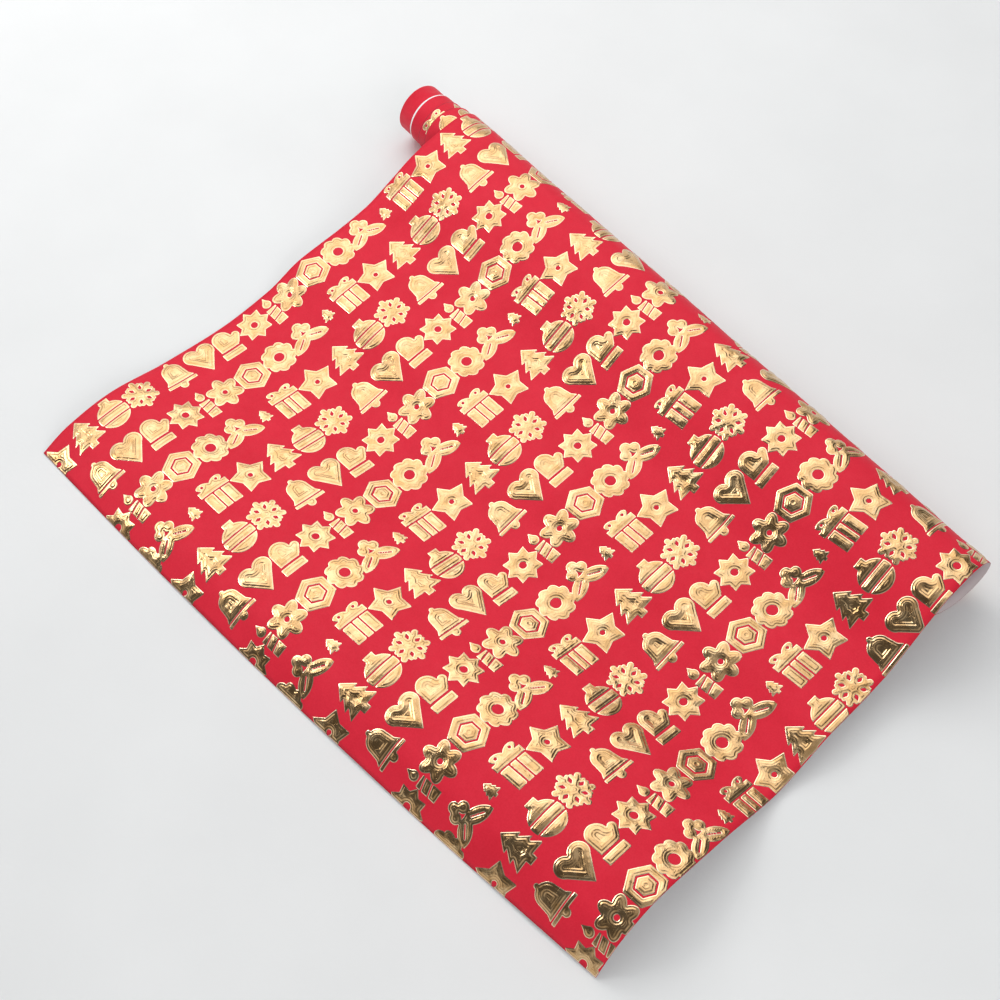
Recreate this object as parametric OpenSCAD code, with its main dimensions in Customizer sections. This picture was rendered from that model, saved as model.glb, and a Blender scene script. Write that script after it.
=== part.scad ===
// A short roll of gift wrap, lying on a table with its free end pulled out.
// The windings are telescoped: each turn stands a step further out at the left end.
// X runs along the roll, Y away from the free end, Z up. The table is z = 0.

/* [Paper] */
// Width of the paper, which is the length of the roll
paper_w = 432; // [250:1:700]
// Thickness of the pulled-out sheet
sheet_t = 0.3; // [0.2:0.05:0.6]
// Wall of each single winding
turn_t = 0.3; // [0.2:0.05:0.5]
// Clearance between windings that move on each other
turn_gap = 0.3; // [0.3:0.05:0.6]
// Wall of the tight inner windings
inner_pack_t = 1.0; // [0.6:0.1:6]

/* [Cardboard core] */
// Inside diameter of the core
core_bore_d = 28; // [20:1:60]
// Thickness of each of the three plies
core_ply_t = 0.5; // [0.3:0.1:1]
// How far each end of the core sits inside the paper
core_inset = 1; // [0:0.5:5]

/* [Start tape] */
// Thickness of the tape that holds the paper to the core
tape_t = 0.1; // [0.05:0.05:0.2]
// Length of each piece of tape along the roll
tape_len = 40; // [20:5:80]
// Angle that each piece of tape covers
tape_angle = 50; // [20:5:120]

/* [Telescoped end] */
// Step from the outer winding to winding 1
step_1 = 10; // [0:0.5:14]
// Step from winding 2 to winding 3
step_3 = 7.5; // [0:0.5:14]
// Step from winding 3 to winding 4
step_4 = 10; // [0:0.5:14]
// Step from winding 4 to the inner windings and the core
step_core = 12; // [0:0.5:14]

/* [Pulled-out sheet] */
// Angle between the free edge and the roll
skew = 6.4; // [0:0.2:9]
// Length of the sheet's left side, from the free edge to over the roll's axis
side_len = 329; // [300:1:500]
// Height of the arch near the free edge, left side
arch_left = 10.5; // [2:0.5:30]
// Height of the arch near the free edge, right side
arch_right = 25.5; // [2:0.5:30]
// Height of the second rise, left side
rise_left = 14; // [8:0.5:20]
// Height of the second rise, right side
rise_right = 12.5; // [8:0.5:20]
// How far the sheet stands above the outer winding where it leaves, right side
lift_right = 3; // [0:0.5:6]

/* [Hidden] */
$fn = 96;

paper_red = "#d9304f";
card_brown = "#b08a5e";

// Radii, from the core outwards
core_r = core_bore_d / 2 + 3 * core_ply_t;
inner_pack_r = core_r + tape_t + inner_pack_t;
turn_pitch = turn_gap + turn_t;
function turn_r(turns_out) = inner_pack_r + turns_out * turn_pitch;
roll_r = turn_r(5);

// Left end of each winding, measured from the outer winding's left end
end_1 = -step_1;
end_3 = end_1 - step_3;
end_4 = end_3 - step_4;
end_core = end_4 - step_core;

// Sheet: unit vectors along the free edge and up the sides, and the free edge's left corner
along = [cos(skew), sin(skew)];
up_side = [-sin(skew), cos(skew)];
corner = -side_len * up_side;
right_len = side_len - paper_w * tan(skew);
roll_len = paper_w / cos(skew);

// The row's origin is under the middle of the whole object
middle = [
    (end_core + corner[0] + paper_w * along[0]) / 2,
    (roll_r + corner[1]) / 2
];

// Underside of the sheet along one side: [distance from the free edge, height].
// Free edge, arch, valley on the table, second rise, then the ramp up on to the roll.
roll_top = 2 * roll_r;
left_side = [
    [0, 0], [20, 0.72 * arch_left], [48, arch_left], [90, 0.42 * arch_left], [134, 0.6],
    [168, 0.28 * rise_left], [196, 0.86 * rise_left], [226, rise_left],
    [side_len - 80, rise_left + 3], [side_len - 57, 25.5], [side_len - 40, 32.5],
    [side_len - 22, 37], [side_len, roll_top + 0.05]
];
right_side = [
    [0, 0], [18, 0.72 * arch_right], [40, arch_right], [88, 0.61 * arch_right], [133, 3],
    [155, 0.66 * rise_right], [172, rise_right], [192, rise_right],
    [right_len - 66, rise_right + 3], [right_len - 49, 25], [right_len - 34, 34.5],
    [right_len - 18, roll_top + 0.6 * lift_right], [right_len, roll_top + lift_right]
];

// Slope of a side at a knot: level at the crests and hollows, smooth between them
function rise_over_run(side, i) = (side[i + 1][1] - side[i][1]) / (side[i + 1][0] - side[i][0]);
function knot_slope(side, i) =
    i == 0 ? 1.3 * rise_over_run(side, 0)
    : i == len(side) - 1 ? 0
    : let (before = rise_over_run(side, i - 1), after = rise_over_run(side, i))
      before * after <= 0 ? 0 : 2 * before * after / (before + after);

// Height at part t (0 to 1) of the way from knot i to knot i + 1
function side_height(side, i, t) =
    let (run = side[i + 1][0] - side[i][0])
    (1 + 2 * t) * (1 - t) * (1 - t) * side[i][1]
    + t * (1 - t) * (1 - t) * run * knot_slope(side, i)
    + t * t * (3 - 2 * t) * side[i + 1][1]
    - t * t * (1 - t) * run * knot_slope(side, i + 1);
function side_run(side, i, t) = side[i][0] + t * (side[i + 1][0] - side[i][0]);

// The sheet is ruled: straight lines join the two sides, knot to knot
rows_per_knot = 5;
columns = 6;
last_row = rows_per_knot * (len(left_side) - 1);
function sheet_point(row, column, lift) =
    let (
        i = min(floor(row / rows_per_knot), len(left_side) - 2),
        t = row / rows_per_knot - i,
        v = column / columns,
        run = (1 - v) * side_run(left_side, i, t) + v * side_run(right_side, i, t),
        height = (1 - v) * side_height(left_side, i, t) + v * side_height(right_side, i, t),
        flat = corner + v * paper_w * along + run * up_side
    )
    [flat[0], flat[1], height + lift];

// Places a child with its left end at x, on the roll's axis, along +X
module on_axis(x) {
    translate([x - middle[0], -middle[1], roll_r])
        rotate([0, 90, 0])
            children();
}

module tube(r_out, r_in, length) {
    rotate_extrude()
        translate([r_in, 0])
            square([r_out - r_in, length]);
}

module core_ply(number) {
    r_in = core_bore_d / 2 + number * core_ply_t;
    color(card_brown)
        on_axis(end_core + core_inset)
            tube(r_in + core_ply_t, r_in, paper_w - 2 * core_inset);
}

module core_inner_ply() {
    core_ply(0);
}

module core_middle_ply() {
    core_ply(1);
}

module core_outer_ply() {
    core_ply(2);
}

// Three pieces of clear tape that hold the paper's inner end to the core
module start_tape() {
    color("ivory")
        for (place = [0.12, 0.5, 0.88])
            on_axis(end_core + place * paper_w - tape_len / 2)
                rotate_extrude(angle = tape_angle)
                    translate([core_r, 0])
                        square([tape_t, tape_len]);
}

module inner_windings() {
    color(paper_red)
        on_axis(end_core)
            tube(inner_pack_r, core_r + tape_t, paper_w);
}

module winding(turns_out, x) {
    color(paper_red)
        on_axis(x)
            tube(turn_r(turns_out), turn_r(turns_out) - turn_t, paper_w);
}

module winding_4() {
    winding(1, end_4);
}

module winding_3() {
    winding(2, end_3);
}

module winding_2() {
    winding(3, end_1);
}

module winding_1() {
    winding(4, end_1);
}

// The loose outer turn, cut on the skew, so a little longer than the paper is wide
module outer_winding() {
    color(paper_red)
        on_axis(0)
            tube(roll_r, roll_r - turn_t, roll_len);
}

// The sheet as one closed thin solid: an underside, a top, and a rim round them
module pulled_sheet() {
    per_row = columns + 1;
    per_face = per_row * (last_row + 1);
    points = [
        for (lift = [0, sheet_t])
            for (row = [0:last_row])
                for (column = [0:columns])
                    sheet_point(row, column, lift)
    ];
    cells = [for (row = [0:last_row - 1]) for (column = [0:columns - 1]) row * per_row + column];
    rim = concat(
        [for (column = [0:columns]) column],
        [for (row = [1:last_row]) row * per_row + columns],
        [for (column = [columns - 1:-1:0]) last_row * per_row + column],
        [for (row = [last_row - 1:-1:1]) row * per_row]
    );
    rim_len = len(rim);
    faces = concat(
        [for (a = cells) [a, a + 1, a + per_row + 1]],
        [for (a = cells) [a, a + per_row + 1, a + per_row]],
        [for (a = cells) [per_face + a, per_face + a + per_row + 1, per_face + a + 1]],
        [for (a = cells) [per_face + a, per_face + a + per_row, per_face + a + per_row + 1]],
        [for (k = [0:rim_len - 1])
            let (a = rim[k], b = rim[(k + 1) % rim_len]) [a, per_face + b, b]],
        [for (k = [0:rim_len - 1])
            let (a = rim[k], b = rim[(k + 1) % rim_len]) [a, per_face + a, per_face + b]]
    );
    color(paper_red)
        translate([-middle[0], -middle[1], 0])
            polyhedron(points, faces);
}

core_inner_ply();
core_middle_ply();
core_outer_ply();
start_tape();
inner_windings();
winding_4();
winding_3();
winding_2();
winding_1();
outer_winding();
pulled_sheet();
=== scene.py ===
import math

import bpy
import numpy as np
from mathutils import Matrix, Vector


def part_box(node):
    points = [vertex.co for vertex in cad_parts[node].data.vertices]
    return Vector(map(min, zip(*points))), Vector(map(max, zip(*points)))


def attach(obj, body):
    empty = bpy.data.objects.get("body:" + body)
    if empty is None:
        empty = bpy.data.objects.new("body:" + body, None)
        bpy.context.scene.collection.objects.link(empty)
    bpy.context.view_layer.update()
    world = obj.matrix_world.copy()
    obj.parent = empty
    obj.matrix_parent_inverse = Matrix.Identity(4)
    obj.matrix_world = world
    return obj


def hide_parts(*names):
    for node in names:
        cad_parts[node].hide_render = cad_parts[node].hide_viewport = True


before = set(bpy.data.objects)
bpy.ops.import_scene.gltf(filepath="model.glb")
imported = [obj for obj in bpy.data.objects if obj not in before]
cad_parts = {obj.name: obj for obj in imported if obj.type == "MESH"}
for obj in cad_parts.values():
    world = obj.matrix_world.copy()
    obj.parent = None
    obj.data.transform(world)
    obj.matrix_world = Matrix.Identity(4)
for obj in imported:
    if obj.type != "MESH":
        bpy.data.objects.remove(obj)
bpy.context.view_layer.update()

MM = 0.001

# ---------------------------------------------------------------- places, from the frame

roll_lo, roll_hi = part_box("outer_winding")
sheet_lo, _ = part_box("pulled_sheet")
turn_lo, turn_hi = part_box("winding_1")

ROLL_R = (roll_hi.z - roll_lo.z) / 2
AXIS_Y = (roll_hi.y + roll_lo.y) / 2
AXIS_Z = (roll_hi.z + roll_lo.z) / 2
ROLL_X = roll_lo.x
ROLL_LEN = roll_hi.x - roll_lo.x
PAPER_W = turn_hi.x - turn_lo.x
SKEW = math.acos(PAPER_W / ROLL_LEN)
SIDE_LEN = (AXIS_Y - sheet_lo.y) / math.cos(SKEW)
RIGHT_LEN = SIDE_LEN - PAPER_W * math.tan(SKEW)
ALONG = np.array([math.cos(SKEW), math.sin(SKEW)])
UP_SIDE = np.array([-math.sin(SKEW), math.cos(SKEW)])
CORNER = np.array([ROLL_X, AXIS_Y]) - SIDE_LEN * UP_SIDE

PAPER_T = 0.25 * MM
CAD_SHEET_T = 0.3 * MM
TURN_SHIFT = 11 * MM        # how far the loose outer turn creeps along the roll in one turn
TURN_SHRINK = 0.36 * MM     # how much nearer the axis that turn ends than it starts
TURN_SLACK = 0.5 * MM       # how far that turn stands off at the back, in places
WRAP_DEG = 335              # how far the outer turn goes round, from over the axis
EDGE_BOW = 5 * MM           # how far the middle of the free edge bows outwards
BOW_REACH = 70 * MM         # how far in from the free edge that bow dies away
EDGE_LIFT = 1.6 * MM        # how far the free edge curls up off the table in places
LIFT_REACH = 12 * MM        # how far in from the free edge that curl dies away
RIPPLE = 0.45 * MM          # size of the sheet's small ripples
SETTLE = 2.5 * MM           # height over the table at which the ripples are whole
SINK = 0.05 * MM            # how far a winding's print face lies under its solid's face

# ---------------------------------------------------------------- the paper's surface

# Height of the sheet's underside along its two sides, as (distance from the free edge, height):
# free edge, arch, valley on the table, second rise, ramp up on to the roll.
ROLL_TOP = 2 * ROLL_R / MM
LEFT_MM, RIGHT_MM = SIDE_LEN / MM, RIGHT_LEN / MM
ARCH_LEFT, ARCH_RIGHT = 10.5, 25.5
RISE_LEFT, RISE_RIGHT = 14, 12.5
LIFT_RIGHT = 3
LEFT_SIDE = [
    (0, 0), (20, 0.72 * ARCH_LEFT), (48, ARCH_LEFT), (90, 0.42 * ARCH_LEFT), (134, 0.6),
    (168, 0.28 * RISE_LEFT), (196, 0.86 * RISE_LEFT), (226, RISE_LEFT),
    (LEFT_MM - 80, RISE_LEFT + 3), (LEFT_MM - 57, 25.5), (LEFT_MM - 40, 32.5),
    (LEFT_MM - 22, 37), (LEFT_MM, ROLL_TOP + 0.05),
]
RIGHT_SIDE = [
    (0, 0), (18, 0.72 * ARCH_RIGHT), (40, ARCH_RIGHT), (88, 0.61 * ARCH_RIGHT), (133, 3),
    (155, 0.66 * RISE_RIGHT), (172, RISE_RIGHT), (192, RISE_RIGHT),
    (RIGHT_MM - 66, RISE_RIGHT + 3), (RIGHT_MM - 49, 25), (RIGHT_MM - 34, 34.5),
    (RIGHT_MM - 18, ROLL_TOP + 0.6 * LIFT_RIGHT), (RIGHT_MM, ROLL_TOP + LIFT_RIGHT),
]


KNOT_STEPS = 40


def side_curve(knots):
    """Runs and heights along one side: a smooth curve through the knots, level at its crests."""
    x, z = np.array(knots, float).T
    slope = np.diff(z) / np.diff(x)
    m = np.zeros(len(x))
    m[0] = 1.3 * slope[0]
    for i in range(1, len(x) - 1):
        before, after = slope[i - 1], slope[i]
        m[i] = 0 if before * after <= 0 else 2 * before * after / (before + after)
    runs, heights = [], []
    for i in range(len(x) - 1):
        t = np.linspace(0, 1, KNOT_STEPS, endpoint=False)
        run = x[i + 1] - x[i]
        runs.append(x[i] + t * run)
        heights.append(
            (1 + 2 * t) * (1 - t) ** 2 * z[i] + t * (1 - t) ** 2 * run * m[i]
            + t * t * (3 - 2 * t) * z[i + 1] - t * t * (1 - t) * run * m[i + 1]
        )
    return np.concatenate(runs) * MM, np.concatenate(heights) * MM


class Web:
    """The visible web of paper: the sheet, then the loose outer turn round the roll.

    at(a, t, lift) gives the point that lies a across the paper from its left side and t along
    it from the free edge, lifted off the printed face."""

    columns = 61

    def __init__(self):
        left_run, left_z = side_curve(LEFT_SIDE)
        right_run, right_z = side_curve(RIGHT_SIDE)
        phi = np.radians(np.linspace(0, WRAP_DEG, 240))
        lines = []
        for v in np.linspace(0, 1, self.columns):
            run = (1 - v) * left_run + v * right_run
            z = (1 - v) * left_z + v * right_z + CAD_SHEET_T
            bow = EDGE_BOW * 4 * v * (1 - v) * np.exp(-run / BOW_REACH)
            flat = CORNER + v * PAPER_W * ALONG + (run - bow)[:, None] * UP_SIDE
            z = z + self.ripple(v, run) * np.clip(z / SETTLE, 0, 1)
            curl = v * (0.5 + 0.5 * math.sin(21 * v + 1.2))
            z = z + EDGE_LIFT * curl * np.exp(-run / LIFT_REACH)
            sheet = np.column_stack([flat, z])
            top_z = ROLL_TOP * MM + v * LIFT_RIGHT * MM + CAD_SHEET_T
            slack = 0.35 * TURN_SLACK * (2 + math.sin(19 * v + 0.5) + math.sin(31 * v))
            radius = (top_z / 2 - TURN_SHRINK * phi / (2 * math.pi)
                      + slack * np.sin(np.minimum(phi, math.pi)) ** 2)
            top_x = ROLL_X + v * ROLL_LEN
            turn = np.column_stack([
                top_x - TURN_SHIFT * phi / (2 * math.pi),
                AXIS_Y + radius * np.sin(phi),
                top_z / 2 + radius * np.cos(phi),
            ])
            lines.append(np.vstack([sheet, turn]))
        self.lines = np.array(lines)
        step = np.linalg.norm(np.diff(self.lines, axis=1), axis=2)
        self.length = np.concatenate([np.zeros((self.columns, 1)), step.cumsum(1)], axis=1)
        self.end = float(self.length[:, -1].min())
        self.sheet_end = float(self.length[:, left_run.size].mean())

    @staticmethod
    def ripple(v, run):
        """Small slack in the sheet, none where it rests on the table or meets the roll."""
        fade = np.clip(run / 0.03, 0, 1) * np.clip((0.25 - run) / 0.1, 0, 1)
        return RIPPLE * fade * (
            np.sin(run / 0.017 + 5.0 * v) * np.sin(4.4 * v + 0.6)
            + 0.6 * np.sin(run / 0.031 - 7.0 * v)
        )

    def fullness(self, t):
        """How much of the embossing is left, as the roll presses it flatter behind and below."""
        past_top = (np.asarray(t, float) - self.sheet_end) / ROLL_R
        return 1 - 0.70 * np.clip((past_top - 0.8) / 1.0, 0, 1)

    def point(self, a, t):
        """The point a across and t along, on the printed face."""
        a, t = np.asarray(a, float), np.asarray(t, float)
        where = np.clip(a / PAPER_W, 0, 1) * (self.columns - 1)
        low = np.minimum(where.astype(int), self.columns - 2)
        out = np.zeros((a.size, 3))
        for column in np.unique(low):
            pick = low == column
            part = (where[pick] - column)[:, None]
            ends = [
                np.column_stack([
                    np.interp(t[pick], self.length[c], self.lines[c, :, k]) for k in range(3)
                ])
                for c in (column, column + 1)
            ]
            out[pick] = (1 - part) * ends[0] + part * ends[1]
        return out

    def at(self, a, t, lift):
        a, t = np.asarray(a, float), np.asarray(t, float)
        d = 0.6 * MM
        across = self.point(np.minimum(a + d, PAPER_W), t) - self.point(np.maximum(a - d, 0), t)
        ahead = self.point(a, np.minimum(t + d, self.end)) - self.point(a, np.maximum(t - d, 0))
        normal = np.cross(across, ahead)
        normal /= np.linalg.norm(normal, axis=1)[:, None]
        return self.point(a, t) + normal * np.asarray(lift, float).reshape(-1, 1)


class Turn:
    """One winding of the telescoped roll, with the same at(a, t, lift) as Web."""

    def __init__(self, node, wobble_phase):
        lo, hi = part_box(node)
        self.x = lo.x
        self.length = hi.x - lo.x
        self.radius = (hi.z - lo.z) / 2
        self.phase = wobble_phase

    @staticmethod
    def fullness(t):
        """How much of the embossing is left under the windings outside it."""
        return np.full(np.shape(t), 0.30)

    def polar(self, t):
        """Angle from over the axis, and radius, at t along the winding from under the axis."""
        return math.pi + t / self.radius, self.radius - SINK

    def at(self, a, t, lift):
        a, t = np.asarray(a, float), np.asarray(t, float)
        angle, radius = self.polar(t)
        creep = 0.35 * MM * np.exp(-a / 0.03) * np.sin(angle * 2 + self.phase)
        r = radius + lift
        return np.column_stack([
            self.x + a + creep, AXIS_Y + r * np.sin(angle), AXIS_Z + r * np.cos(angle)
        ])


class Coil(Turn):
    """Several windings in one, each lying inside the one before by the pitch."""

    pitch = 0.32 * MM

    def __init__(self, node, turns):
        super().__init__(node, 4.0)
        self.turns = turns
        self.wound = 2 * math.pi * turns * self.radius

    def polar(self, t):
        angle, radius = super().polar(t)
        return angle, radius - self.pitch * (angle - math.pi) / (2 * math.pi)


# ---------------------------------------------------------------- gold motifs, drawn flat in mm

# Each shape is a function of x and y that is below 0 inside it, and near its rim gives the
# distance out from the rim. x runs along the row, y across it.

CAP = 21.8                  # height of a motif
ROW_PITCH = 29.34           # from one row of motifs to the next
FIRST_ROW = 12.7            # from the paper's left side to the first row's middle
ROWS = 15
REPEAT = 297.0              # length of the repeating line of motifs
FIRST_TREE = 36.5           # from the free edge to the first small tree
CELL = 0.75                 # size of the mesh that fills a motif
HALF = 12.6                 # half the side of the square that a motif is drawn in
REACH = 12                  # half the room that a motif takes along its row
TRIM = 0.15                 # red paper left between a cut motif and the paper's edge
RIDGE = 3.0                 # from a motif's rim in to the ridge of its embossing
SLOPE = 0.16                # steepness of the embossing's two sides
FOIL_T = 0.05               # height of the foil's rim over the paper
FOIL_WAVE = 1.5             # spacing of the fine waves that run along a motif's rim


def disc(x, y, cx, cy, r):
    return np.hypot(x - cx, y - cy) - r


def oval(x, y, cx, cy, rx, ry, turn=0.0):
    c, s = math.cos(turn), math.sin(turn)
    u = (x - cx) * c + (y - cy) * s
    w = (y - cy) * c - (x - cx) * s
    return (np.hypot(u / rx, w / ry) - 1) * min(rx, ry)


def block(x, y, cx, cy, wide, high):
    return np.maximum(np.abs(x - cx) - wide / 2, np.abs(y - cy) - high / 2)


def bar(x, y, x0, y0, x1, y1, wide):
    dx, dy = x1 - x0, y1 - y0
    along = np.clip(((x - x0) * dx + (y - y0) * dy) / (dx ** 2 + dy ** 2), 0, 1)
    return np.hypot(x - x0 - along * dx, y - y0 - along * dy) - wide / 2


def outline(x, y, corners):
    """Signed distance to a closed outline."""
    inside = np.zeros(x.shape, bool)
    best = np.full(x.shape, 1e9)
    for (x0, y0), (x1, y1) in zip(corners, corners[1:] + corners[:1]):
        best = np.minimum(best, bar(x, y, x0, y0, x1, y1, 0))
        if y0 != y1:
            crosses = (y0 > y) != (y1 > y)
            inside ^= crosses & (x < (x1 - x0) * (y - y0) / (y1 - y0) + x0)
    return np.where(inside, -best, best)


def polar(count, radius, start=90.0):
    """Points evenly round a circle, from an angle in degrees."""
    turns = [math.radians(start + 360 * i / count) for i in range(count)]
    return [(radius * math.cos(a), radius * math.sin(a)) for a in turns]


def pointed(count, tip, dip, start=90.0):
    """Corners of a star: tips at one radius and dips between them at another."""
    tips = polar(count, tip, start)
    dips = polar(count, dip, start + 180 / count)
    return [corner for pair in zip(tips, dips) for corner in pair]


def join(*shapes):
    return np.minimum.reduce(shapes)


def cut(shape, *holes):
    return np.maximum.reduce([shape, *[-h for h in holes]])


def star(x, y):
    y = y + 1.0
    return cut(outline(x, y, pointed(5, 12.6, 7.6)), disc(x, y, 0, 0, 1.5))


def gift(x, y):
    box = cut(block(x, y, 0, -4.4, 17.6, 13.2), block(x, y, 2.4, -4.4, 0.9, 14),
              block(x, y, -2.4, -4.4, 0.9, 14))
    lid = block(x, y, 0, 5.2, 19.4, 4.2)
    bow = join(oval(x, y, 4.0, 9.0, 4.6, 2.5, 0.3), oval(x, y, -4.0, 9.0, 4.6, 2.5, -0.3))
    return join(box, lid, cut(bow, disc(x, y, 5.0, 9.3, 0.9), disc(x, y, -5.0, 9.3, 0.9)))


def tree(x, y, size=1.0):
    x, y = x / size, y / size
    tiers = [
        outline(x, y, [(-w, low), (w, low), (0, top)])
        for w, low, top in ((6.8, 3.4, 11.3), (9.0, -2.2, 8.0), (10.4, -8.0, 5.0))
    ]
    return join(*tiers, block(x, y, 0, -9.4, 5.0, 3.4)) * size


def bauble(x, y):
    bands = [block(x, y, 0, height, 22, 0.9) for height in (1.6, -4.6)]
    ball = cut(disc(x, y, 0, -1.5, 9.8), *bands)
    return join(ball, block(x, y, 0, 9.3, 6.4, 3.4))


def snowflake(x, y):
    arms = [bar(x, y, -px, -py, px, py, 3.6) for px, py in polar(6, 9.4)[:3]]
    twigs = []
    for px, py in polar(6, 5.6):
        out = math.atan2(py, px)
        for lean in (-1.0, 1.0):
            tip_x, tip_y = px + 3.9 * math.cos(out + lean), py + 3.9 * math.sin(out + lean)
            twigs.append(bar(x, y, px, py, tip_x, tip_y, 2.2))
    return join(*arms, *twigs, disc(x, y, 0, 0, 4.0))


def bell(x, y):
    skirt = [(-6.8, 3.0), (6.8, 3.0), (7.6, -2.4), (9.6, -5.4), (-9.6, -5.4), (-7.6, -2.4)]
    body = join(outline(x, y, skirt), disc(x, y, 0, 3.0, 6.8), disc(x, y, 0, 10.0, 1.6))
    return join(body, block(x, y, 0, -7.3, 20.4, 2.2), disc(x, y, 0, -9.0, 2.6))


def flower(x, y):
    petals = [oval(x, y, px, py, 5.8, 3.7, math.atan2(py, px)) for px, py in polar(6, 5.6)]
    return cut(join(*petals, disc(x, y, 0, 0, 5.0)), disc(x, y, 0, 0, 1.6))


def heart(x, y):
    point = outline(x, y, [(-9.6, 2.3), (0, -11.0), (9.6, 2.3), (0, 7.6)])
    return join(disc(x, y, -4.9, 5.0, 5.6), disc(x, y, 4.9, 5.0, 5.6), point)


def mitten(x, y):
    hand = join(block(x, y, -1.6, 0.4, 12.8, 9.2), disc(x, y, -1.6, 4.6, 6.4))
    thumb = bar(x, y, 4.0, -1.2, 7.2, 3.0, 5.2)
    return join(hand, thumb, block(x, y, -1.6, -8.2, 15.0, 5.2))


def hexagon(x, y):
    groove = cut(outline(x, y, polar(6, 6.6)), outline(x, y, polar(6, 5.4)))
    return cut(outline(x, y, polar(6, 11.4)), groove)


def sparkle(x, y):
    return cut(outline(x, y, pointed(8, 11.4, 8.0)), disc(x, y, 0, 0, 2.2))


def wreath(x, y):
    leaves = [
        oval(x, y, px, py, 4.2, 3.1, math.atan2(py, px) + 0.9) for px, py in polar(9, 7.4)
    ]
    return cut(join(*leaves, disc(x, y, 0, 0, 8.6)), disc(x, y, 0, 0, 3.2))


def candle(x, y):
    flame = join(disc(x, y, 0, 6.0, 2.9), outline(x, y, [(-2.6, 6.8), (2.6, 6.8), (0.3, 11.3)]))
    return join(cut(block(x, y, 0, -4.6, 7.2, 13.2), bar(x, y, -4, -1.6, 4, 0.4, 0.8),
                    bar(x, y, -4, -6.6, 4, -4.6, 0.8)), flame)


def holly(x, y):
    def leaf(sign):
        near = np.maximum(disc(x, y, sign * 2.0, -10.4, 12.0), disc(x, y, sign * 8.6, 3.6, 12.0))
        return cut(near, bar(x, y, sign * 2.4, -1.4, sign * 8.6, -5.4, 0.8))
    berries = [disc(x, y, px, py, 3.3) for px, py in ((-3.5, 4.6), (3.5, 4.6), (0, 8.2))]
    return join(leaf(1), leaf(-1), *berries)


def small_tree(x, y):
    return tree(x, y, 0.43)


# The repeating line: each motif with the width it takes, and the gaps between groups
GAP = None
LINE = [
    (small_tree, 8.8), (GAP, 4.0),
    (gift, 19.4), (star, 24.0), (tree, 20.8), (bauble, 19.6), (snowflake, 20.8), (GAP, 5.0),
    (bell, 20.4), (heart, 20.9), (mitten, 17.4), (sparkle, 22.6), (candle, 7.2),
    (flower, 21.2), (hexagon, 19.8), (wreath, 21.6), (holly, 20.4), (GAP, 4.0),
]


def line_places():
    """(motif, middle) along the repeating line, starting with the small tree at 0."""
    room = REPEAT - sum(width for _, width in LINE)
    space = room / len(LINE)
    places, edge = [], -LINE[0][1] / 2
    for motif, width in LINE:
        if motif is not GAP:
            places.append((motif, edge + width / 2))
        edge += width + space
    return places


motif_cache = {}


def motif_mesh(shape, low_y=None, low_x=None):
    """Corners (x, y, distance in from the rim) and triangles of a motif, trimmed if asked.

    A square mesh covers the shape, and its cells are cut where they cross the rim."""
    key = (shape.__name__, low_y, low_x)
    if key in motif_cache:
        return motif_cache[key]

    def field(x, y):
        f = shape(x, y)
        if low_y is not None:
            f = np.maximum(f, low_y - y)
        if low_x is not None:
            f = np.maximum(f, low_x - x)
        return f

    ticks = np.arange(-HALF, HALF + CELL, CELL)
    n = ticks.size
    gx, gy = np.meshgrid(ticks, ticks, indexing="ij")
    f = field(gx, gy).ravel()
    pts = np.column_stack([gx.ravel(), gy.ravel()])
    index = np.arange(n * n).reshape(n, n)
    a, b = index[:-1, :-1].ravel(), index[1:, :-1].ravel()
    c, d = index[1:, 1:].ravel(), index[:-1, 1:].ravel()
    cells = np.vstack([np.column_stack([a, b, c]), np.column_stack([a, c, d])])
    cells = cells[(f[cells] < 0).any(1)]
    corners, rim, faces = [], [], []
    used, crossed = {}, {}

    def keep(i):
        if i not in used:
            used[i] = len(corners)
            corners.append(pts[i])
        return used[i]

    def crossing(i, j):
        side = (min(i, j), max(i, j))
        if side not in crossed:
            inside, outside = (pts[i], pts[j]) if f[i] < 0 else (pts[j], pts[i])
            for _ in range(7):
                mid = (inside + outside) / 2
                if field(mid[:1], mid[1:])[0] < 0:
                    inside = mid
                else:
                    outside = mid
            crossed[side] = len(corners)
            corners.append((inside + outside) / 2)
        return crossed[side]

    for cell in cells:
        ins = [k for k in range(3) if f[cell[k]] < 0]
        if len(ins) == 3:
            faces.append([keep(i) for i in cell])
        elif len(ins) == 1:
            p, q, r = (cell[(ins[0] + k) % 3] for k in range(3))
            u, w = crossing(p, q), crossing(p, r)
            faces.append([keep(p), u, w])
            rim.append((u, w))
        else:
            out = ({0, 1, 2} - set(ins)).pop()
            p, q, r = (cell[(out + k) % 3] for k in range(3))
            u, w = crossing(p, q), crossing(p, r)
            faces.append([u, keep(q), keep(r)])
            faces.append([u, keep(r), w])
            rim.append((u, w))
    motif_cache[key] = None
    if faces:
        corners = np.array(corners)
        start, end = corners[[r[0] for r in rim]], corners[[r[1] for r in rim]]
        edge = end - start
        size = np.maximum((edge ** 2).sum(1), 1e-12)
        to = corners[:, None, :] - start[None]
        part = np.clip((to * edge).sum(2) / size, 0, 1)
        depth = np.linalg.norm(to - part[:, :, None] * edge[None], axis=2).min(1)
        motif_cache[key] = (np.column_stack([corners, depth]), np.array(faces))
    return motif_cache[key]


def relief(depth):
    """Height of the embossed foil over the paper, in mm, for a distance in from its rim.

    Narrow strokes are ridged like a roof, and wider shapes have a ridged border round a panel."""
    within = np.mod(depth, 2 * RIDGE)
    return FOIL_T + SLOPE * (RIDGE - np.abs(within - RIDGE))


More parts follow.
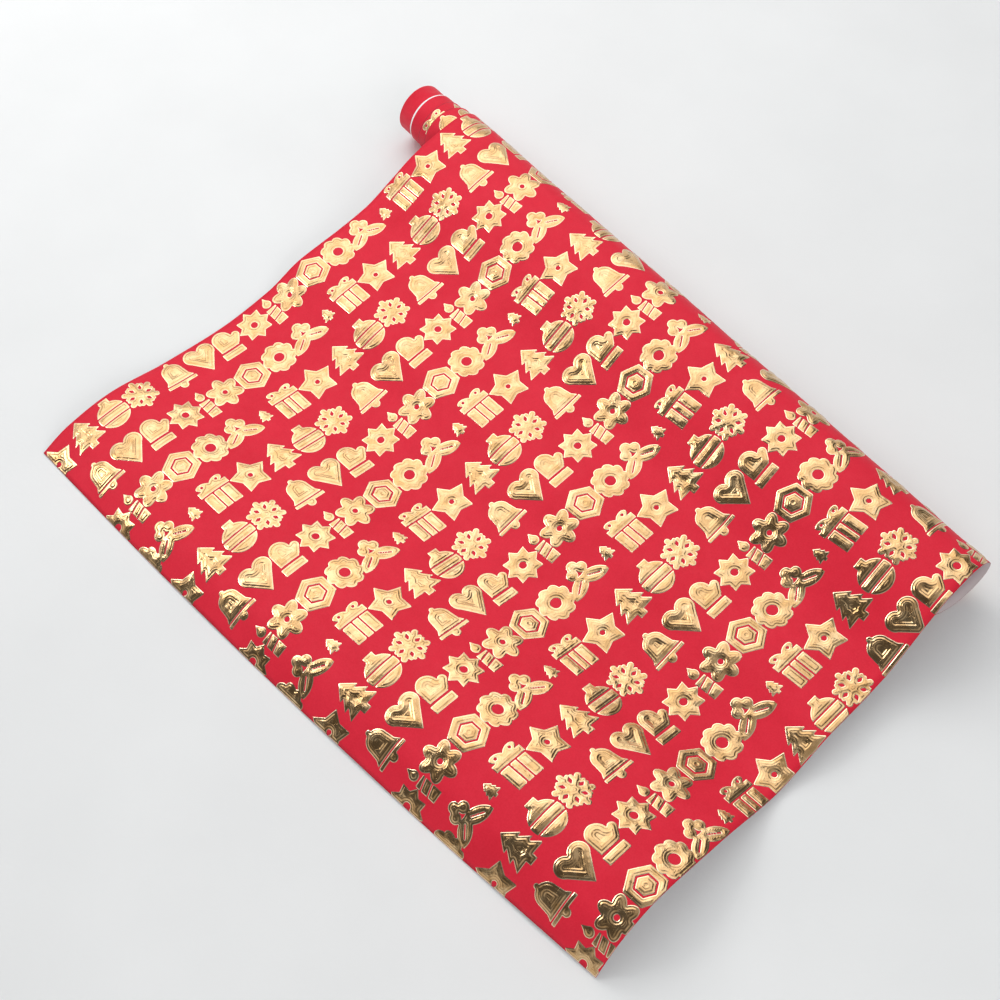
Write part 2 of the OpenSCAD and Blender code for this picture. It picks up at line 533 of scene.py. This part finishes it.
def row_of_foil(surface, row, last_t, first_t=0.0, bare=()):
    """Corners, depths in from the rim and faces of one row of motifs laid on a surface.

    first_t, last_t and the bare stretches are in mm along the row. Each row starts a quarter of
    the repeat before the last."""
    middle = FIRST_ROW + row * ROW_PITCH
    tree_t = FIRST_TREE + ((3 - row) % 4) * REPEAT / 4
    low_y = round(middle - PAPER_W / MM + TRIM, 2)
    if low_y <= -CAP / 2 - 1:
        low_y = None
    found = []
    for repeat in range(-1, 3):
        for shape, place in line_places():
            t = tree_t + repeat * REPEAT + place
            past = t < first_t - REACH or t > last_t - REACH
            if past or any(low < t < high for low, high in bare):
                continue
            low_x = round(first_t - t + TRIM, 2) if t < first_t + HALF else None
            made = motif_mesh(shape, low_y, low_x)
            if made is not None:
                (x, y, depth), faces = made[0].T, made[1]
                found.append(((middle - y) * MM, (t + x) * MM, depth, faces))
    if not found:
        return None
    a, t, depth = (np.concatenate([f[k] for f in found]) for k in range(3))
    starts = np.cumsum([0] + [f[0].size for f in found[:-1]])
    faces = np.vstack([f[3] + s for f, s in zip(found, starts)])
    return surface.at(a, t, relief(depth) * surface.fullness(t) * MM), depth, faces


# ---------------------------------------------------------------- mesh making

def mesh_object(name, points, faces, materials, slots=None):
    """A smooth-shaded object; slots gives each face's place in the list of materials."""
    mesh = bpy.data.meshes.new(name)
    mesh.from_pydata([tuple(p) for p in points], [], [tuple(int(i) for i in f) for f in faces])
    for m in materials:
        mesh.materials.append(m)
    if slots is not None:
        mesh.polygons.foreach_set("material_index", np.asarray(slots, np.int32))
    mesh.polygons.foreach_set("use_smooth", np.full(len(mesh.polygons), True))
    mesh.validate()
    mesh.update()
    obj = bpy.data.objects.new(name, mesh)
    bpy.context.collection.objects.link(obj)
    return obj


def foil_object(name, parts, material):
    """Rows of foil as one object, with the depth in from the rim kept for the material."""
    parts = [p for p in parts if p is not None]
    points = np.vstack([p[0] for p in parts])
    depth = np.concatenate([p[1] for p in parts])
    starts = np.cumsum([0] + [p[0].shape[0] for p in parts[:-1]])
    faces = np.vstack([p[2] + s for p, s in zip(parts, starts)])
    obj = mesh_object(name, points, faces, [material])
    layer = obj.data.attributes.new("rim", "FLOAT", "POINT")
    layer.data.foreach_set("value", depth.astype(np.float32))
    return obj


def grid_faces(rows, columns, start, flip=False, closed=False):
    """Quads over a grid of points numbered from start; closed joins the last column to the first."""
    faces = []
    for r in range(rows - 1):
        for c in range(columns if closed else columns - 1):
            d = (c + 1) % columns
            here, next_row = start + r * columns, start + (r + 1) * columns
            quad = [here + c, here + d, next_row + d, next_row + c]
            faces.append(quad[::-1] if flip else quad)
    return faces


def sheet_object(name, surface, a_ticks, t_ticks):
    """A thin closed sheet on a surface: printed face, plain back, and a rim round them."""
    rows, columns = t_ticks.size, a_ticks.size
    a, t = np.meshgrid(a_ticks, t_ticks)
    face = surface.at(a.ravel(), t.ravel(), np.zeros(a.size))
    back = surface.at(a.ravel(), t.ravel(), np.full(a.size, -PAPER_T))
    count = rows * columns
    faces = grid_faces(rows, columns, 0) + grid_faces(rows, columns, count, flip=True)
    slots = [0] * (len(faces) // 2) + [1] * (len(faces) // 2)
    ring = (list(range(columns)) + [r * columns + columns - 1 for r in range(1, rows)]
            + [(rows - 1) * columns + c for c in range(columns - 2, -1, -1)]
            + [r * columns for r in range(rows - 2, 0, -1)])
    for p, q in zip(ring, ring[1:] + ring[:1]):
        faces.append([p, count + p, count + q, q])
        slots.append(2)
    return mesh_object(name, np.vstack([face, back]), faces, [red, white, edge_painted_shade], slots)


# ---------------------------------------------------------------- materials

class Nodes:
    """Short calls for building a material's nodes."""

    def __init__(self, name, **constants):
        self.material = bpy.data.materials.new(name)
        self.material.use_nodes = True
        self.tree = self.material.node_tree
        self.shader = self.tree.nodes["Principled BSDF"]
        for socket, value in constants.items():
            self.shader.inputs[socket.replace("_", " ")].default_value = value
        self.place = self.add("ShaderNodeTexCoord").outputs["Object"]

    def add(self, kind, **settings):
        node = self.tree.nodes.new(kind)
        for key, value in settings.items():
            setattr(node, key, value)
        return node

    def wire(self, source, target):
        self.tree.links.new(source, target)

    def stretched(self, scale, turn=(0, 0, 0)):
        node = self.add("ShaderNodeMapping")
        node.inputs["Scale"].default_value = scale
        node.inputs["Rotation"].default_value = turn
        self.wire(self.place, node.inputs["Vector"])
        return node.outputs["Vector"]

    def noise(self, scale, detail=3.0, rough=0.5, vector=None):
        node = self.add("ShaderNodeTexNoise")
        node.inputs["Scale"].default_value = scale
        node.inputs["Detail"].default_value = detail
        node.inputs["Roughness"].default_value = rough
        self.wire(vector or self.place, node.inputs["Vector"])
        return node.outputs["Fac"]

    def crackle(self, scale, vector=None):
        """Small cells, each of one tone."""
        node = self.add("ShaderNodeTexVoronoi", feature="F1")
        node.inputs["Scale"].default_value = scale
        self.wire(vector or self.place, node.inputs["Vector"])
        return node.outputs["Color"]

    def ramp(self, value, *stops):
        node = self.add("ShaderNodeValToRGB")
        marks = node.color_ramp.elements
        while len(marks) < len(stops):
            marks.new(0.5)
        for mark, (position, color) in zip(marks, stops):
            mark.position = position
            mark.color = color if len(color) == 4 else (*color, 1)
        self.wire(value, node.inputs["Fac"])
        return node.outputs["Color"]

    def blended(self, factor, color, other):
        """From a color output to a fixed other color, as the factor goes from 0 to 1."""
        node = self.add("ShaderNodeMix", data_type="RGBA")
        colors = [socket for socket in node.inputs if socket.type == "RGBA"]
        self.wire(factor, node.inputs["Factor"])
        self.wire(color, colors[0])
        colors[1].default_value = other
        return next(socket for socket in node.outputs if socket.type == "RGBA")

    def span(self, value, low, high, out_low, out_high):
        node = self.add("ShaderNodeMapRange")
        for socket, v in zip(("From Min", "From Max", "To Min", "To Max"),
                             (low, high, out_low, out_high)):
            node.inputs[socket].default_value = v
        self.wire(value, node.inputs["Value"])
        return node.outputs["Result"]

    def math(self, operation, a, b):
        node = self.add("ShaderNodeMath", operation=operation)
        for socket, value in zip(node.inputs, (a, b)):
            if isinstance(value, (int, float)):
                socket.default_value = value
            else:
                self.wire(value, socket)
        return node.outputs["Value"]

    def bumps(self, *layers):
        """Each layer is (height, strength, distance in metres)."""
        before = None
        for height, strength, distance in layers:
            node = self.add("ShaderNodeBump")
            node.inputs["Strength"].default_value = strength
            node.inputs["Distance"].default_value = distance
            self.wire(height, node.inputs["Height"])
            if before:
                self.wire(before, node.inputs["Normal"])
            before = node.outputs["Normal"]
        self.wire(before, self.shader.inputs["Normal"])


def printed_face():
    m = Nodes("printed_red_paper", Specular_IOR_Level=0.22)
    grain = m.noise(1100, 2, 0.6)
    mottle = m.math("ADD", m.math("MULTIPLY", m.noise(38, 4, 0.6), 0.6),
                    m.math("MULTIPLY", grain, 0.4))
    m.wire(m.ramp(mottle, (0.30, (0.660, 0.013, 0.034)), (0.70, (0.770, 0.023, 0.051))),
           m.shader.inputs["Base Color"])
    fibres = m.noise(1500, 3, 0.6, m.stretched((1.0, 0.45, 1.0)))
    m.wire(m.span(m.noise(260, 3), 0.3, 0.7, 0.50, 0.62), m.shader.inputs["Roughness"])
    m.bumps((m.noise(70, 3), 0.30, 0.0004), (fibres, 0.55, 0.00008))
    return m.material


def back_with_painted_shade():
    m = Nodes("paper_back_painted_shade", Specular_IOR_Level=0.25)
    # Grey-pink rather than white: painted shade for the inside of the loop, with a painted pink
    # reflection of the red print.
    m.wire(m.ramp(m.noise(45, 4), (0.3, (0.60, 0.510, 0.515)), (0.7, (0.68, 0.590, 0.595))),
           m.shader.inputs["Base Color"])
    m.wire(m.span(m.noise(300, 2), 0.3, 0.7, 0.72, 0.88), m.shader.inputs["Roughness"])
    m.bumps((m.noise(1300, 3, 0.6), 0.4, 0.00008))
    return m.material


def cut_edge(name, dark, light):
    m = Nodes(name, Specular_IOR_Level=0.3)
    m.wire(m.ramp(m.noise(900, 2), (0.3, dark), (0.7, light)), m.shader.inputs["Base Color"])
    m.wire(m.span(m.noise(700, 2), 0.3, 0.7, 0.7, 0.9), m.shader.inputs["Roughness"])
    return m.material


def gold_foil():
    m = Nodes("gold_foil", Metallic=1.0)
    rim = m.add("ShaderNodeAttribute", attribute_name="rim").outputs["Fac"]
    facets = m.crackle(210, m.stretched((1.0, 1.0, 0.6)))
    tone = m.math("ADD", m.math("MULTIPLY", m.noise(120, 3), 0.7), m.math("MULTIPLY", facets, 0.3))
    body = m.ramp(tone, (0.30, (0.58, 0.345, 0.145)), (0.52, (0.675, 0.430, 0.210)),
                  (0.75, (0.76, 0.545, 0.300)))
    m.wire(m.blended(m.span(rim, 0.20, 0.55, 1.0, 0.0), body, (0.88, 0.74, 0.50, 1)),
           m.shader.inputs["Base Color"])
    m.wire(m.span(m.noise(330, 3), 0.3, 0.7, 0.12, 0.22), m.shader.inputs["Roughness"])
    waves = m.math("SINE", m.math("MULTIPLY", rim, 2 * math.pi / FOIL_WAVE), 0.0)
    m.bumps((waves, 0.32, 0.00010), (m.noise(150, 2), 0.5, 0.0007), (facets, 0.20, 0.0003),
            (m.noise(900, 2), 0.25, 0.00005))
    return m.material


def core_board(name, light, seam_turns):
    m = Nodes(name, Specular_IOR_Level=0.25)
    fibres = m.noise(420, 5, 0.65, m.stretched((0.35, 1.0, 1.0)))
    seam = m.add("ShaderNodeTexWave", wave_type="BANDS", bands_direction="DIAGONAL")
    seam.inputs["Scale"].default_value = seam_turns
    seam.inputs["Distortion"].default_value = 0.4
    m.wire(m.place, seam.inputs["Vector"])
    dark = tuple(0.72 * c for c in light)
    tone = m.math("ADD", m.math("MULTIPLY", fibres, 0.8),
                  m.math("MULTIPLY", seam.outputs["Fac"], 0.2))
    m.wire(m.ramp(tone, (0.3, dark), (0.7, light)), m.shader.inputs["Base Color"])
    m.wire(m.span(fibres, 0.3, 0.7, 0.8, 0.95), m.shader.inputs["Roughness"])
    m.bumps((fibres, 0.5, 0.00012), (seam.outputs["Fac"], 0.2, 0.0002))
    return m.material


def clear_tape():
    m = Nodes("clear_tape", Coat_Weight=0.5, Coat_Roughness=0.15)
    m.wire(m.ramp(m.noise(160, 2), (0.3, (0.74, 0.70, 0.58)), (0.7, (0.84, 0.81, 0.70))),
           m.shader.inputs["Base Color"])
    m.wire(m.span(m.noise(500, 2), 0.3, 0.7, 0.25, 0.4), m.shader.inputs["Roughness"])
    m.bumps((m.noise(240, 2), 0.3, 0.0001))
    return m.material


def table_top():
    """Pale and plain; it fades into the room well outside the picture."""
    m = Nodes("pale_table", Specular_IOR_Level=0.3)
    m.wire(m.ramp(m.noise(9, 4), (0.3, (0.795, 0.805, 0.805)), (0.7, (0.830, 0.840, 0.840))),
           m.shader.inputs["Base Color"])
    m.wire(m.span(m.noise(40, 3), 0.3, 0.7, 0.62, 0.75), m.shader.inputs["Roughness"])
    m.bumps((m.noise(420, 3), 0.25, 0.0003))
    from_middle = m.add("ShaderNodeVectorMath", operation="LENGTH")
    m.wire(m.place, from_middle.inputs[0])
    m.wire(m.span(from_middle.outputs["Value"], 0.9, 2.0, 1.0, 0.0), m.shader.inputs["Alpha"])
    return m.material


red, white, gold = printed_face(), back_with_painted_shade(), gold_foil()
# Dark red, well under the print's red: painted shade, the thin dark lines at the windings' steps and
# along the sheet's cut edge.
edge_painted_shade = cut_edge("painted_shade_paper_edge", (0.24, 0.016, 0.032), (0.44, 0.050, 0.075))
# Near-white: the paper's own bare cut edge, widened and brightened into a painted highlight along
# winding_4's lip.
bare_edge_with_highlight = cut_edge("bare_paper_edge_painted_highlight", (0.88, 0.86, 0.86), (0.96, 0.95, 0.95))

# ---------------------------------------------------------------- the sheet and outer turn

END_MARGIN = 4              # in mm, the end of the outer turn that has no print

web = Web()
across_ticks = np.linspace(0, PAPER_W, 97)
along_ticks = np.linspace(0, web.end, int(web.end / (2.6 * MM)))
paper = sheet_object("paper_web", web, across_ticks, along_ticks)
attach(paper, "outer_paper")
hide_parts("pulled_sheet", "outer_winding")

last_t = web.end / MM - END_MARGIN
web_foil = foil_object(
    "web_foil", [row_of_foil(web, row, last_t) for row in range(ROWS)], gold
)
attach(web_foil, "outer_paper")


# ---------------------------------------------------------------- the telescoped windings

LIP_PEAK = math.radians(140)     # where a lip is widest, from under the axis and round the front
SEAM_MARGIN = 12                 # in mm, the start of each winding that has no print


def winding_object(node, turn, lip, lip_material):
    """A winding as a thin tube: printed outside, plain inside, with a fine lip at its left end."""
    around = 128
    visible = np.linspace(2 * MM, 40 * MM, 14)
    hidden = [turn.length / 2, turn.length - lip, turn.length]
    xs = np.concatenate([[0, lip], visible, hidden])
    angles = np.arange(around) / around * 2 * math.pi
    lip_share = 0.12 + 0.88 * np.cos((angles - LIP_PEAK) / 2) ** 4

    def rings(lift):
        return np.vstack([
            turn.at(x * lip_share if x == lip else np.full(around, x),
                    angles * turn.radius, np.full(around, lift))
            for x in xs
        ])

    rows, count = xs.size, xs.size * around
    outside = grid_faces(rows, around, 0, flip=True, closed=True)
    inside = grid_faces(rows, around, count, closed=True)
    slots = [2] * around + [0] * (len(outside) - 2 * around) + [2] * around + [1] * len(inside)
    ends = []
    for ring_start, flip in ((0, False), ((rows - 1) * around, True)):
        for i in range(around):
            j = (i + 1) % around
            quad = [ring_start + i, ring_start + j, count + ring_start + j, count + ring_start + i]
            ends.append(quad[::-1] if flip else quad)
    return mesh_object(
        node + "_paper", np.vstack([rings(0.0), rings(-PAPER_T)]), outside + inside + ends,
        [red, white, lip_material], slots + [2] * len(ends)
    )


def coil_object(node, coil):
    """The tight inner windings: one strip of paper wound several times, as its ends show."""
    across = np.linspace(0, coil.length, 25)
    along = np.linspace(0, coil.wound, 96 * coil.turns)
    return sheet_object(node + "_paper", coil, across, along)


def winding_foil(node, body, turn, start_t, bare_degrees):
    """One row of motifs round a winding, starting from start_t along the repeating line."""

    class Shifted:
        """The winding, with t counted from start_t."""

        fullness = staticmethod(turn.fullness)

        @staticmethod
        def at(a, t, lift):
            return turn.at(a, t - start_t * MM, lift)

    def along(degrees):
        return start_t + math.radians(degrees) * turn.radius / MM

    bare = [(along(low), along(high)) for low, high in bare_degrees]
    part = row_of_foil(Shifted(), 0, along(360), start_t + SEAM_MARGIN, bare)
    obj = foil_object(node + "_foil", [part], gold)
    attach(obj, body)


# node, its lip's width and material, where its print starts along the repeating line, and the
# stretches without print, in degrees from under the axis and round the front
WINDINGS = [
    # Windings 1 to 3 get dark lips of painted shade.
    ("winding_1", 0.30 * MM, edge_painted_shade, 36, ()),
    ("winding_2", 0.30 * MM, edge_painted_shade, 60, ()),
    ("winding_3", 0.35 * MM, edge_painted_shade, 232, ()),
    # winding_4 gets a near-white lip: its bare cut edge with a painted highlight.
    ("winding_4", 1.20 * MM, bare_edge_with_highlight, 20, ((60, 250),)),
]
for phase, (node, lip, lip_material, start_t, bare_degrees) in enumerate(WINDINGS):
    turn = Turn(node, 1.7 * phase)
    obj = winding_object(node, turn, lip, lip_material)
    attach(obj, node)
    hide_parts(node)
    winding_foil(node, node, turn, start_t, bare_degrees)

coil = Coil("inner_windings", 3)
obj = coil_object("inner_windings", coil)
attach(obj, "coil")
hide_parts("inner_windings")
winding_foil("inner_windings", "coil", coil, 250, ((60, 250),))

# ---------------------------------------------------------------- core and tape

# They keep their CAD shapes.

SEAM_TURNS = 9.0
CORE_TONES = {
    "core_inner_ply": (0.40, 0.30, 0.20),
    "core_middle_ply": (0.36, 0.27, 0.18),
    "core_outer_ply": (0.43, 0.33, 0.22),
}
for node, light in CORE_TONES.items():
    core_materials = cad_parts[node].data.materials
    core_materials.clear()
    core_materials.append(core_board(node + "_board", light, SEAM_TURNS))
tape_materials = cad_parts["start_tape"].data.materials
tape_materials.clear()
tape_materials.append(clear_tape())

# ---------------------------------------------------------------- table, light and camera

AZIMUTH, ELEVATION = math.radians(51.47), math.radians(55.18)
AIM = (0.0109, 0.0101, 0.0)      # where the camera looks
DISTANCE = 0.9667                # from there to the camera
LENS = 62.2                      # in mm, on a 36 mm sensor
TABLE_SIDE, TABLE_CELLS = 5.0, 10
TABLE_DROP = 0.2 * MM            # how far under the paper the table lies

# name, place, aim, size, and how bright its face is
FILLS = [
    ("fill_over", (0.0, -0.2, 1.8), (0, 0, 0), (2.2, 2.2), 0.18),
    ("fill_left", (-1.0, 0.15, 0.9), (-0.2, 0, 0), (0.6, 0.6), 3.5),
    ("fill_right", (1.2, -0.3, 0.8), (0.2, 0, 0), (1.2, 0.8), 2.1),
]


def make_table():
    ticks = np.linspace(-TABLE_SIDE / 2, TABLE_SIDE / 2, TABLE_CELLS + 1)
    x, y = np.meshgrid(ticks, ticks)
    points = np.column_stack([x.ravel(), y.ravel(), np.full(x.size, -TABLE_DROP)])
    obj = mesh_object("table", points, grid_faces(ticks.size, ticks.size, 0), [table_top()])


def area_light(name, place, aim, size, radiance, in_reflections=True):
    """A soft rectangular light, given by how bright its face is."""
    data = bpy.data.lights.new(name, "AREA")
    data.shape = "RECTANGLE"
    data.size, data.size_y = size
    data.energy = radiance * math.pi * size[0] * size[1]
    obj = bpy.data.objects.new(name, data)
    obj.location = place
    obj.rotation_euler = (Vector(aim) - Vector(place)).to_track_quat("-Z", "Y").to_euler()
    obj.visible_glossy = in_reflections
    bpy.context.collection.objects.link(obj)
    return obj


def lights():
    """A ceiling panel beyond the roll and a window to its left, which the gold reflects, and
    three soft fills that it doesn't."""
    right = Vector((math.cos(AZIMUTH), math.sin(AZIMUTH), 0))
    away = Vector((-math.sin(AZIMUTH), math.cos(AZIMUTH), 0))
    over = -0.12 * right + 1.18 * away + Vector((0, 0, 1.4))
    ceiling = area_light("ceiling", over, (0, 0, 0), (1.95, 2.05), 1.15)
    ceiling.rotation_euler = (0, 0, AZIMUTH)
    area_light("window", (-1.10, -0.95, 1.30), (0, 0, 0), (0.50, 0.60), 4.3)
    for name, place, aim, size, radiance in FILLS:
        area_light(name, place, aim, size, radiance, in_reflections=False)


def sky():
    """The room round the table. Soft light comes from it evenly. The gold sees it bright low
    down, straight above and to the left, with a dim band between."""
    world = bpy.data.worlds.new("room")
    bpy.context.scene.world = world
    world.use_nodes = True
    nodes, links = world.node_tree.nodes, world.node_tree.links

    def background(level):
        node = nodes.new("ShaderNodeBackground")
        node.inputs["Color"].default_value = (level, level, 1.01 * level, 1)
        return node

    def level_along(direction, *stops):
        """Brightness by the cosine of the angle between a ray and a direction."""
        along = nodes.new("ShaderNodeVectorMath")
        along.operation = "DOT_PRODUCT"
        along.inputs[1].default_value = Vector(direction).normalized()
        links.new(coord.outputs["Generated"], along.inputs[0])
        share = nodes.new("ShaderNodeMapRange")
        share.inputs["From Min"].default_value = -1
        links.new(along.outputs["Value"], share.inputs["Value"])
        ramp = nodes.new("ShaderNodeValToRGB")
        marks = ramp.color_ramp.elements
        while len(marks) < len(stops):
            marks.new(0.5)
        for mark, (cosine, level) in zip(marks, stops):
            mark.position = (cosine + 1) / 2
            mark.color = (level, level, level, 1)
        links.new(share.outputs["Result"], ramp.inputs["Fac"])
        return ramp.outputs["Color"]

    def mixed(factor, first, second):
        node = nodes.new("ShaderNodeMixShader")
        links.new(factor, node.inputs["Fac"])
        links.new(first.outputs[0], node.inputs[1])
        links.new(second.outputs[0], node.inputs[2])
        return node

    coord, rays = nodes.new("ShaderNodeTexCoord"), nodes.new("ShaderNodeLightPath")
    sideways = level_along((-1.0, 0.15, 0.0), (-0.60, 0.70), (-0.25, 0.30), (0.00, 0.10),
                           (0.25, 0.09), (0.40, 0.30), (0.60, 0.95))
    upwards = level_along((0, 0, 1), (0.10, 0.62), (0.34, 0.05), (0.92, 0.05), (0.97, 0.50))
    brighter = nodes.new("ShaderNodeMix")
    brighter.data_type, brighter.blend_type = "RGBA", "LIGHTEN"
    brighter.inputs["Factor"].default_value = 1.0
    colors = [socket for socket in brighter.inputs if socket.type == "RGBA"]
    links.new(sideways, colors[0])
    links.new(upwards, colors[1])
    reflected = background(1.0)
    links.new(next(o for o in brighter.outputs if o.type == "RGBA"), reflected.inputs["Color"])
    soft = mixed(rays.outputs["Is Glossy Ray"], background(0.34), reflected)
    shown = mixed(rays.outputs["Is Camera Ray"], soft, background(0.72))
    links.new(shown.outputs["Shader"], nodes["World Output"].inputs["Surface"])


def camera():
    """The photograph's viewing angle."""
    back = Vector((math.sin(AZIMUTH) * math.cos(ELEVATION),
                   -math.cos(AZIMUTH) * math.cos(ELEVATION), math.sin(ELEVATION)))
    data = bpy.data.cameras.new("camera")
    data.lens = LENS
    data.sensor_width = 36
    data.clip_start, data.clip_end = 0.01, 50
    obj = bpy.data.objects.new("camera", data)
    obj.location = Vector(AIM) + back * DISTANCE
    obj.rotation_euler = back.to_track_quat("Z", "Y").to_euler()
    bpy.context.collection.objects.link(obj)
    bpy.context.scene.camera = obj
    bpy.context.scene.view_settings.view_transform = "Standard"


make_table()
sky()
lights()
camera()
